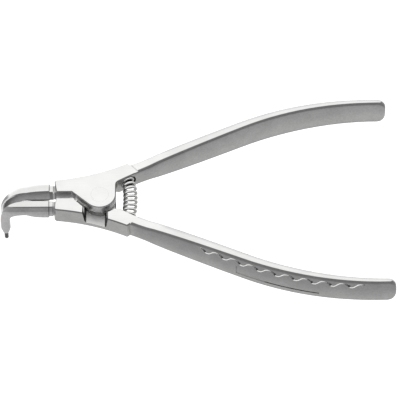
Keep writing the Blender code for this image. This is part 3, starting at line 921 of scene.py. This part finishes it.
# Painted highlight: nearly white along the raised scallops.
HIGHLIGHT_STEEL = PlainSteel("rubbed_bright_steel", colour="E6E6E5", roughness=0.28)
# Painted shade: dark grey in the grooves, the hollows and the panel's line.
SHADE_STEEL = PlainSteel("dark_forged_hollow", colour="4A4A4A", roughness=0.50)


def seen_rays(tree: Tree) -> Socket:
    """Add a value that is 1 for camera, glossy and transmission rays.

    Args:
        tree: the tree that gets the nodes.

    Returns:
        The value's socket.
    """
    path = add_node(tree, "ShaderNodeLightPath")
    first = add_node(tree, "ShaderNodeMath", {"operation": "MAXIMUM"}, {
        0: path.outputs["Is Camera Ray"], 1: path.outputs["Is Glossy Ray"]})
    return add_node(tree, "ShaderNodeMath", {"operation": "MAXIMUM"}, {
        0: first.outputs[0], 1: path.outputs["Is Transmission Ray"]}).outputs[0]


@dataclass(frozen=True)
class PaleFloor:
    """White paper, matt: it shows as plain white and keeps the tool's soft shadow.

    Attributes:
        glow: the light that the camera sees from it.
        reflectance: the share of the lamps' light that it gives back.
    """

    glow: float = 0.86
    reflectance: float = 0.5

    def material(self) -> bpy.types.Material:
        """Build the floor's paper.

        Returns:
            The new material.
        """
        material = bpy.data.materials.new("white_paper_sweep")
        material.use_nodes = True
        tree = material.node_tree
        tree.nodes.remove(tree.nodes["Principled BSDF"])
        seen = seen_rays(tree)
        paper = add_node(tree, "ShaderNodeBsdfDiffuse", inputs={
            "Color": (self.reflectance, self.reflectance, self.reflectance, 1.0)})
        strength = add_node(tree, "ShaderNodeMath", {"operation": "MULTIPLY"}, {0: seen, 1: self.glow})
        glow = add_node(tree, "ShaderNodeEmission", inputs={"Strength": strength.outputs[0]})
        total = add_node(tree, "ShaderNodeAddShader", inputs={0: paper.outputs[0], 1: glow.outputs[0]})
        tree.links.new(total.outputs[0], tree.nodes["Material Output"].inputs["Surface"])
        return material


@dataclass
class HandleCourse:
    """The middle line of a handle in plan: straight from the joint, then bowed.

    Attributes:
        root: a point on its straight stretch.
        angle: the straight stretch's angle to the tool's length.
        straight_end: where the bow starts.
        bow_radius: the bow's radius.
        start: where the handle's widths start.
        end: where they end.
        widths: the width at the start, halfway and at the end.
    """

    root: tuple[float, float] = (0.0252, 0.01855)
    angle: float = math.radians(24.5)
    straight_end: float = 0.0624
    bow_radius: float = 0.1434
    start: float = 0.0142
    end: float = 0.1275
    widths: tuple[float, float, float] = (0.0049, 0.0038, 0.0027)

    def on_face(self, x: float, up: float, side: Side, proud: float = 0.0) -> Vector:
        """Find a point on the outer face.

        Args:
            x: the station's X.
            up: height above the middle plane.
            side: which handle.
            proud: how far outside the face.

        Returns:
            The point.
        """
        along = min(x, self.straight_end)
        y = self.root[1] + (along - self.root[0]) * math.tan(self.angle)
        heading = self.angle
        if x > self.straight_end:
            heading = math.asin(math.sin(self.angle) - (x - self.straight_end) / self.bow_radius)
            y += self.bow_radius * (math.cos(heading) - math.cos(self.angle))
        share = (x - self.start) / (self.end - self.start)
        low, high = self.widths[:2] if share < 0.5 else self.widths[1:]
        width = low + (high - low) * (share * 2 % 1)
        out = width / 2 + proud
        point = Vector((x - math.sin(heading) * out, y + math.cos(heading) * out, 0))
        return Vector((point.x, side.value * point.y, MIDDLE_Z + up))


# A scallop's wave, its bead and its groove, as shares of the scallop's length and of the full size.
SCALLOP_WAVE = ((0.0, 0.32), (0.06, 0.06), (0.18, 0.0), (0.35, 0.36), (0.50, 0.84), (0.62, 1.0),
                (0.78, 0.96), (0.93, 0.70), (1.0, 0.32))
BEAD_SWELL = ((0.0, 0.6), (0.06, 1.0), (0.55, 1.0), (0.72, 0.55), (0.86, 0.15), (1.0, 0.15))
GROOVE_SWELL = ((0.0, 0.2), (0.06, 0.1), (0.60, 0.1), (0.78, 0.6), (0.94, 1.0), (1.0, 0.7))
BEAD_SIDES = 8
WIRE_SIDES = 16


def scallop_border_tree(name: str, swell: tuple[tuple[float, float], ...]) -> Tree:
    """Build the tree that runs a scalloped bead along a handle's face.

    Args:
        name: the tree's name.
        swell: the bead's thickness at shares of one scallop.

    Returns:
        The geometry tree.
    """
    tree, given = open_tree(name, {
        "Scallops": "NodeSocketFloat", "Start": "NodeSocketFloat", "Points": "NodeSocketInt",
        "Wave height": "NodeSocketFloat", "Bead radius": "NodeSocketFloat",
        "Forging": "NodeSocketObject", "Finish": "NodeSocketMaterial"})
    line = add_node(tree, "GeometryNodeMeshToCurve", inputs={"Mesh": given.outputs["Geometry"]})
    fine = add_node(tree, "GeometryNodeResampleCurve", inputs={
        "Curve": line.outputs[0], "Count": given.outputs["Points"]})
    along = add_node(tree, "GeometryNodeSplineParameter")
    count = add_node(tree, "ShaderNodeMath", {"operation": "MULTIPLY_ADD"}, {
        0: along.outputs["Factor"], 1: given.outputs["Scallops"], 2: given.outputs["Start"]})
    share = add_node(tree, "ShaderNodeMath", {"operation": "FRACT"}, {0: count.outputs[0]})
    wave = add_node(tree, "ShaderNodeFloatCurve", inputs={"Value": share.outputs[0]})
    draw_curve(wave, SCALLOP_WAVE)
    thickness = add_node(tree, "ShaderNodeFloatCurve", inputs={"Value": share.outputs[0]})
    draw_curve(thickness, swell)
    height = add_node(tree, "ShaderNodeMath", {"operation": "MULTIPLY"}, {
        0: wave.outputs[0], 1: given.outputs["Wave height"]})
    lift = add_node(tree, "ShaderNodeCombineXYZ", inputs={"Z": height.outputs[0]})
    waved = add_node(tree, "GeometryNodeSetPosition", inputs={
        "Geometry": fine.outputs[0], "Offset": lift.outputs[0]})
    forging = add_node(tree, "GeometryNodeObjectInfo", inputs={"Object": given.outputs["Forging"]})
    nearest = add_node(tree, "GeometryNodeProximity", {"target_element": "FACES"}, {
        0: forging.outputs["Geometry"]})
    laid = add_node(tree, "GeometryNodeSetPosition", inputs={
        "Geometry": waved.outputs[0], "Position": nearest.outputs["Position"]})
    round_bar = add_node(tree, "GeometryNodeCurvePrimitiveCircle", inputs={
        "Resolution": BEAD_SIDES, "Radius": given.outputs["Bead radius"]})
    bead = add_node(tree, "GeometryNodeCurveToMesh", inputs={
        "Curve": laid.outputs[0], "Profile Curve": round_bar.outputs[0], "Scale": thickness.outputs[0],
        "Fill Caps": True})
    close_tree(tree, bead.outputs[0], given.outputs["Finish"])
    return tree


def hollow_row_tree() -> Tree:
    """Build the tree that sets a hollow at the foot of each scallop.

    Returns:
        The geometry tree.
    """
    tree, given = open_tree("hollow_row", {
        "Count": "NodeSocketInt", "Radius": "NodeSocketFloat", "Shape": "NodeSocketVector",
        "Finish": "NodeSocketMaterial"})
    line = add_node(tree, "GeometryNodeMeshToCurve", inputs={"Mesh": given.outputs["Geometry"]})
    spots = add_node(tree, "GeometryNodeResampleCurve", inputs={
        "Curve": line.outputs[0], "Count": given.outputs["Count"]})
    ball = add_node(tree, "GeometryNodeMeshIcoSphere", inputs={
        "Radius": given.outputs["Radius"], "Subdivisions": 3})
    tangent = add_node(tree, "GeometryNodeInputTangent")
    turn = add_node(tree, "FunctionNodeAlignRotationToVector", {"axis": "X"}, {"Vector": tangent.outputs[0]})
    row = add_node(tree, "GeometryNodeInstanceOnPoints", inputs={
        "Points": spots.outputs[0], "Instance": ball.outputs[0], "Rotation": turn.outputs[0],
        "Scale": given.outputs["Shape"]})
    close_tree(tree, row.outputs[0], given.outputs["Finish"])
    return tree


def coil_tree() -> Tree:
    """Build the tree that winds a wire about a bowed axis.

    Returns:
        The geometry tree.
    """
    tree, given = open_tree("coil", {
        "Turns": "NodeSocketFloat", "Start turn": "NodeSocketFloat", "Points": "NodeSocketInt",
        "Coil radius": "NodeSocketFloat", "Wire radius": "NodeSocketFloat", "Finish": "NodeSocketMaterial"})
    line = add_node(tree, "GeometryNodeMeshToCurve", inputs={"Mesh": given.outputs["Geometry"]})
    fine = add_node(tree, "GeometryNodeResampleCurve", inputs={
        "Curve": line.outputs[0], "Count": given.outputs["Points"]})
    level = add_node(tree, "GeometryNodeSetCurveNormal", {"mode": "Z_UP"}, {"Curve": fine.outputs[0]})
    along = add_node(tree, "GeometryNodeSplineParameter")
    turns = add_node(tree, "ShaderNodeMath", {"operation": "MULTIPLY_ADD"}, {
        0: along.outputs["Factor"], 1: given.outputs["Turns"], 2: given.outputs["Start turn"]})
    angle = add_node(tree, "ShaderNodeMath", {"operation": "MULTIPLY"}, {0: turns.outputs[0], 1: math.tau})
    cosine = add_node(tree, "ShaderNodeMath", {"operation": "COSINE"}, {0: angle.outputs[0]})
    sine = add_node(tree, "ShaderNodeMath", {"operation": "SINE"}, {0: angle.outputs[0]})
    tangent = add_node(tree, "GeometryNodeInputTangent")
    up = (0.0, 0.0, 1.0)
    across = add_node(tree, "ShaderNodeVectorMath", {"operation": "CROSS_PRODUCT"}, {
        0: up, 1: tangent.outputs[0]})
    out = add_node(tree, "ShaderNodeVectorMath", {"operation": "SCALE"}, {
        0: across.outputs[0], "Scale": cosine.outputs[0]})
    high = add_node(tree, "ShaderNodeVectorMath", {"operation": "SCALE"}, {0: up, "Scale": sine.outputs[0]})
    round_way = add_node(tree, "ShaderNodeVectorMath", {"operation": "ADD"}, {
        0: out.outputs[0], 1: high.outputs[0]})
    reach = add_node(tree, "ShaderNodeVectorMath", {"operation": "SCALE"}, {
        0: round_way.outputs[0], "Scale": given.outputs["Coil radius"]})
    wound = add_node(tree, "GeometryNodeSetPosition", inputs={
        "Geometry": level.outputs[0], "Offset": reach.outputs[0]})
    eased = add_node(tree, "GeometryNodeSetCurveNormal", {"mode": "MINIMUM_TWIST"}, {
        "Curve": wound.outputs[0]})
    section = add_node(tree, "GeometryNodeCurvePrimitiveCircle", inputs={
        "Resolution": WIRE_SIDES, "Radius": given.outputs["Wire radius"]})
    wire = add_node(tree, "GeometryNodeCurveToMesh", inputs={
        "Curve": eased.outputs[0], "Profile Curve": section.outputs[0], "Fill Caps": True})
    close_tree(tree, wire.outputs[0], given.outputs["Finish"])
    return tree


@dataclass
class Forging:
    """One forged lever, with its scallop border and its bare sunk panel.

    Heights are over the middle plane, and places along the handle are in X.

    Attributes:
        first_scallop: where the first whole scallop starts.
        lead_in: share of a scallop that the border runs before it.
        last_gap: share of a scallop that the border falls short of the last one's end.
        border_proud: how far outside the handle's width the border is drawn before it is laid on the face.
        hollow_proud: how far outside it the hollows' middles lie.
        crown: how far the crowned face stands out of the handle's width.
        cutter_reach: how far a cutter stands out of it.
        line_steps: steps of a line along the face.
        band_steps: steps of a cutter along it.
    """

    side: Side
    node: str
    body: str
    steel: bpy.types.Material
    # The bead's steel, nearly white as a painted highlight.
    painted_highlight: bpy.types.Material
    # The steel of the grooves, hollows and panel line, dark grey as painted shade.
    hollow: bpy.types.Material
    course: HandleCourse = field(default_factory=HandleCourse)
    first_scallop: float = 0.0466
    scallop_pitch: float = 0.0076
    scallops: int = 9
    points_per_scallop: int = 24
    lead_in: float = 0.25
    last_gap: float = 0.14
    wave_low: float = 0.0030
    wave_height: float = 0.0024
    bead_radius: float = 0.00023
    groove_radius: float = 0.00042
    border_proud: float = 0.1 * MM
    hollow_up: float = 0.0040
    hollow_radius: float = 0.00062
    hollow_shape: tuple[float, float, float] = (1.0, 0.8, 1.2)
    hollow_proud: float = 0.35 * MM
    panel_start: float = 0.0600
    panel_end: float = 0.0950
    panel_low: float = -0.0041
    panel_high: float = 0.0012
    panel_depth: float = 0.00025
    line_start: float = 0.0720
    line_width: float = 0.00034
    line_depth: float = 0.00040
    crown: float = 0.25 * MM
    cutter_reach: float = 1.0 * MM
    line_steps: int = 48
    band_steps: int = 16
    merge_distance: float = 0.000002
    sharp_angle: float = math.radians(32)

    def copy_node(self) -> bpy.types.Object:
        """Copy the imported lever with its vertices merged, as a new mesh without the old one's normals.

        Returns:
            The copy.
        """
        mesh = bmesh.new()
        mesh.from_mesh(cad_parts[self.node].data)
        bmesh.ops.remove_doubles(mesh, verts=mesh.verts, dist=self.merge_distance)
        corners = [tuple(vertex.co) for vertex in mesh.verts]
        faces = [[vertex.index for vertex in face.verts] for face in mesh.faces]
        mesh.free()
        data = bpy.data.meshes.new(self.node)
        data.from_pydata(corners, [], faces)
        return new_object(f"{self.node}_forging", data)

    def face_line(self, name: str, start: float, end: float, up: float, proud: float) -> bpy.types.Object:
        """Make a line along the outer face.

        Args:
            name: the line's name.
            start: X of its first point.
            end: X of its last point.
            up: height above the middle plane.
            proud: how far outside the handle's width.

        Returns:
            The line.
        """
        xs = [start + (end - start) * i / self.line_steps for i in range(self.line_steps + 1)]
        return path_line(name, [self.course.on_face(x, up, self.side, proud) for x in xs])

    def face_cutter(self, name: str, span: tuple[float, float], heights: tuple[float, float],
                    depth: float, finish: bpy.types.Material) -> bpy.types.Object:
        """Make the block that sinks a band into the outer face.

        Args:
            name: the cutter's name.
            span: X of the band's ends.
            heights: of its lower and upper edge above the middle plane.
            depth: how deep it cuts.
            finish: the steel that it leaves.

        Returns:
            The cutter.
        """
        low, high = heights
        bottom = self.crown - depth
        rings = []
        for i in range(self.band_steps + 1):
            x = span[0] + (span[1] - span[0]) * i / self.band_steps
            rings.append([self.course.on_face(x, up, self.side, proud) for up, proud in (
                (low, bottom), (high, bottom), (high, self.cutter_reach), (low, self.cutter_reach))])
        cutter = loft(name, rings)
        cutter.data.materials.append(finish)
        return cutter

    def border(self, piece: bpy.types.Object, tree: Tree, radius: float,
               finish: bpy.types.Material) -> bpy.types.Object:
        """Run a bead along the scallops, on the outer face.

        Args:
            piece: the forging that it is laid on.
            tree: the tree that makes it.
            radius: its radius.
            finish: its steel.

        Returns:
            The bead.
        """
        run = self.scallops - self.last_gap + self.lead_in
        first = self.first_scallop - self.scallop_pitch * self.lead_in
        last = first + self.scallop_pitch * run
        line = self.face_line(tree.name, first, last, self.wave_low, self.border_proud)
        run_tree(line, tree, {
            "Scallops": run, "Start": -self.lead_in, "Points": self.scallops * self.points_per_scallop + 1,
            "Wave height": self.wave_height, "Bead radius": radius, "Forging": piece, "Finish": finish})
        return line

    def hollow_row(self, tree: Tree) -> bpy.types.Object:
        """Set a row of balls where the hollows at the scallops' feet are to be.

        Args:
            tree: the tree that sets them.

        Returns:
            The row.
        """
        final = self.first_scallop + self.scallop_pitch * (self.scallops - 1)
        row = self.face_line("hollows", self.first_scallop, final, self.hollow_up, self.hollow_proud)
        run_tree(row, tree, {
            "Count": self.scallops, "Radius": self.hollow_radius, "Shape": self.hollow_shape,
            "Finish": self.hollow})
        return row

    def build(self, raised: Tree, sunk: Tree, hollows: Tree) -> bpy.types.Object:
        """Make the dressed lever.

        Args:
            raised: the tree of the scallops' raised bead.
            sunk: the tree of the groove that follows each bead.
            hollows: the tree of the hollows at the scallops' feet.

        Returns:
            The finished piece.
        """
        piece = self.copy_node()
        piece.data.materials.append(self.steel)
        bead = self.border(piece, raised, self.bead_radius, self.painted_highlight)
        groove = self.border(piece, sunk, self.groove_radius, self.hollow)
        row = self.hollow_row(hollows)
        panel = self.face_cutter("panel", (self.panel_start, self.panel_end), (
            self.panel_low, self.panel_high), self.panel_depth, self.steel)
        line = self.face_cutter("panel_line", (self.line_start, self.panel_end), (
            self.panel_low, self.panel_low + self.line_width), self.line_depth, self.hollow)
        carve(piece, panel, Carving.SINK)
        carve(piece, line, Carving.SINK)
        carve(piece, groove, Carving.SINK)
        carve(piece, bead, Carving.RAISE)
        carve(piece, row, Carving.SINK)
        piece.data.shade_smooth()
        piece.data.set_sharp_from_angle(angle=self.sharp_angle)
        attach(piece, self.body)
        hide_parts(self.node)
        return piece


@dataclass
class ReturnSpring:
    """The coil spring that sits in the levers' bores and bows between them.

    Attributes:
        wall_start: X and Y where the lever's slanted wall starts.
        wall_angle: the wall's angle to the tool's length.
        seat_x: X of the bore's middle in that wall.
        end_gap: gap between the spring's end and the bore's floor.
        bow: how far the axis is pulled out of the bore before it bends.
        outer_radius: the coil's outer radius.
        start_turn: where round the axis the wire starts, in turns.
    """

    steel: bpy.types.Material
    wall_start: tuple[float, float] = (0.0092, 0.0077)
    wall_angle: float = math.radians(30)
    seat_x: float = 0.0126
    bore_depth: float = 0.0026
    end_gap: float = 0.0003
    bow: float = 0.0045
    outer_radius: float = 0.0032
    wire_radius: float = 0.00058
    pitch: float = 0.00232
    start_turn: float = -0.38
    points_per_turn: int = 40
    axis_steps: int = 200

    def axis(self) -> list[Vector]:
        """Find the bowed axis, from the upper bore's floor to the lower one's.

        Returns:
            Points down the axis.
        """
        seat = Vector((self.seat_x, self.wall_start[1] + (self.seat_x - self.wall_start[0])
                       * math.tan(self.wall_angle), MIDDLE_Z))
        way_out = Vector((math.sin(self.wall_angle), -math.cos(self.wall_angle), 0))
        start = seat - way_out * (self.bore_depth - self.end_gap - self.wire_radius)
        pull = start + way_out * self.bow
        ends = [start, pull, Vector((pull.x, -pull.y, MIDDLE_Z)), Vector((start.x, -start.y, MIDDLE_Z))]
        points = []
        for i in range(self.axis_steps + 1):
            t = i / self.axis_steps
            weights = ((1 - t) ** 3, 3 * t * (1 - t) ** 2, 3 * t ** 2 * (1 - t), t ** 3)
            points.append(sum((end * weight for end, weight in zip(ends, weights)), Vector()))
        return points

    def build(self, coil: Tree) -> bpy.types.Object:
        """Wind the spring.

        Args:
            coil: the tree that winds a wire about an axis.

        Returns:
            The finished piece.
        """
        axis = self.axis()
        length = sum((b - a).length for a, b in zip(axis, axis[1:]))
        turns = length / self.pitch
        piece = path_line("coil_spring", axis)
        run_tree(piece, coil, {
            "Turns": turns, "Start turn": self.start_turn, "Points": round(turns * self.points_per_turn),
            "Coil radius": self.outer_radius - self.wire_radius, "Wire radius": self.wire_radius,
            "Finish": self.steel})
        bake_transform(piece)
        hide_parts("return_spring")
        return piece


@dataclass
class Rivet:
    """The rivet, with both heads ground flush."""

    steel: bpy.types.Material
    shank_radius: float = 0.00275
    head_radius: float = 0.00382
    head_depth: float = 0.0011
    half_height: float = 0.0044
    sides: int = 96

    def build(self) -> bpy.types.Object:
        """Turn the rivet.

        Returns:
            The finished piece.
        """
        shoulder = self.half_height - self.head_depth
        profile = [(self.head_radius, -self.half_height), (self.shank_radius, -shoulder),
                   (self.shank_radius, shoulder), (self.head_radius, self.half_height)]
        piece = turned("flush_rivet", profile, self.sides, Vector((0, 0, MIDDLE_Z)))
        dress_turned(piece, self.steel)
        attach(piece, "lower_lever")
        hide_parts("pivot_rivet")
        return piece


@dataclass
class TipPin:
    """A hard round pin that stands out of a nose."""

    node: str
    body: str
    steel: bpy.types.Material
    radius: float = 0.0009
    rounding: float = 0.00014
    round_steps: int = 5
    sides: int = 48

    def build(self) -> bpy.types.Object:
        """Turn the pin with a rounded end.

        Returns:
            The finished piece.
        """
        low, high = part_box(self.node)
        centre = (low + high) / 2
        profile = []
        for step in range(self.round_steps + 1):
            angle = math.pi / 2 * step / self.round_steps
            radius = self.radius - self.rounding * (1 - math.sin(angle))
            profile.append((radius, low.z + self.rounding * (1 - math.cos(angle))))
        profile.append((self.radius, high.z))
        piece = turned(f"{self.node}_turned", profile, self.sides, Vector((centre.x, centre.y, 0)))
        dress_turned(piece, self.steel)
        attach(piece, self.body)
        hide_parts(self.node)
        return piece


@dataclass
class Studio:
    """A plain pale floor, soft lamps and the camera at the photograph's angle.

    Attributes:
        aim: the point that the camera and the lamps look at.
        elevation: how high the camera stands, as an angle.
        azimuth: how far round it stands.
        lens: its focal length in millimetres, as the sensor's width is.
        surround: strength of the world's light on the tool.
    """

    floor_z: float = -0.0275
    floor_half: float = 2.0
    sensor_width: float = 36.0
    aim: tuple[float, float, float] = (0.0439, -0.0035, 0.0)
    elevation: float = math.radians(54.0)
    azimuth: float = math.radians(-0.6)
    distance: float = 1.25
    lens: float = 257.6
    surround: float = 0.8

    def floor(self) -> None:
        """Lay the floor."""
        half = self.floor_half
        data = bpy.data.meshes.new("floor")
        corners = [(-half, -half, self.floor_z), (half, -half, self.floor_z),
                   (half, half, self.floor_z), (-half, half, self.floor_z)]
        data.from_pydata(corners, [], [(0, 1, 2, 3)])
        piece = new_object("floor", data)
        piece.data.materials.append(PaleFloor().material())

    def lamp(self, name: str, place: tuple[float, float, float], width: float, power: float) -> None:
        """Hang a square soft lamp that points at the tool.

        Args:
            name: the lamp's name.
            place: where it hangs.
            width: its side.
            power: its power in watts.
        """
        light = bpy.data.lights.new(name, "AREA")
        light.size = width
        light.energy = power
        lamp = bpy.data.objects.new(name, light)
        lamp.location = place
        lamp.rotation_euler = (Vector(self.aim) - Vector(place)).to_track_quat("-Z", "Y").to_euler()
        bpy.context.scene.collection.objects.link(lamp)

    def world(self) -> None:
        """Set the surround, which shows as plain white."""
        world = bpy.data.worlds.new("studio")
        world.use_nodes = True
        tree = world.node_tree
        sky = tree.nodes["Background"]
        seen = seen_rays(tree)
        strength = add_node(tree, "ShaderNodeMapRange", inputs={
            "Value": seen, "To Min": self.surround, "To Max": 1.0})
        sky.inputs["Color"].default_value = (1.0, 1.0, 1.0, 1.0)
        tree.links.new(strength.outputs[0], sky.inputs["Strength"])
        bpy.context.scene.world = world

    def camera(self) -> None:
        """Set the camera at the photograph's angle."""
        data = bpy.data.cameras.new("camera")
        data.sensor_width = self.sensor_width
        data.lens = self.lens
        camera = bpy.data.objects.new("camera", data)
        bpy.context.scene.collection.objects.link(camera)
        way = Vector((math.sin(self.azimuth) * math.cos(self.elevation),
                      -math.cos(self.azimuth) * math.cos(self.elevation), math.sin(self.elevation)))
        place = Vector(self.aim) + way * self.distance
        turn = (-way).to_track_quat("-Z", "Y").to_matrix().to_4x4()
        camera.matrix_world = Matrix.Translation(place) @ turn
        bpy.context.scene.camera = camera

    def build(self) -> None:
        """Set up the studio."""
        self.floor()
        self.world()
        self.lamp("top_softbox", place=(0.05, 0.42, 0.58), width=0.5, power=0.09)
        self.lamp("left_softbox", place=(-0.55, -0.25, 0.45), width=0.4, power=0.15)
        self.camera()
        bpy.context.scene.view_settings.view_transform = "Standard"


def main() -> None:
    """Dress the pliers, piece by piece."""
    logging.basicConfig(level=logging.INFO, format="%(name)s: %(message)s")
    forged = ForgedSteel().material()
    drawn, hardened, painted_highlight, hollow = (
        steel.material() for steel in (SPRING_WIRE, PIN_STEEL, HIGHLIGHT_STEEL, SHADE_STEEL))
    raised = scallop_border_tree("raised_scallops", BEAD_SWELL)
    sunk = scallop_border_tree("sunk_scallops", GROOVE_SWELL)
    hollows = hollow_row_tree()
    coil = coil_tree()
    pieces = [
        Forging(Side.UPPER, "upper_arm", "upper_lever", forged, painted_highlight, hollow).build(raised, sunk, hollows),
        Forging(Side.LOWER, "lower_arm", "lower_lever", forged, painted_highlight, hollow).build(raised, sunk, hollows),
        ReturnSpring(drawn).build(coil),
        Rivet(forged).build(),
        TipPin("upper_tip_pin", "upper_lever", hardened).build(),
        TipPin("lower_tip_pin", "lower_lever", hardened).build(),
    ]
    for piece in pieces:
        LOG.info("%s: %d faces", piece.name, len(piece.data.polygons))
    Studio().build()


if __name__ == "__main__":
    main()
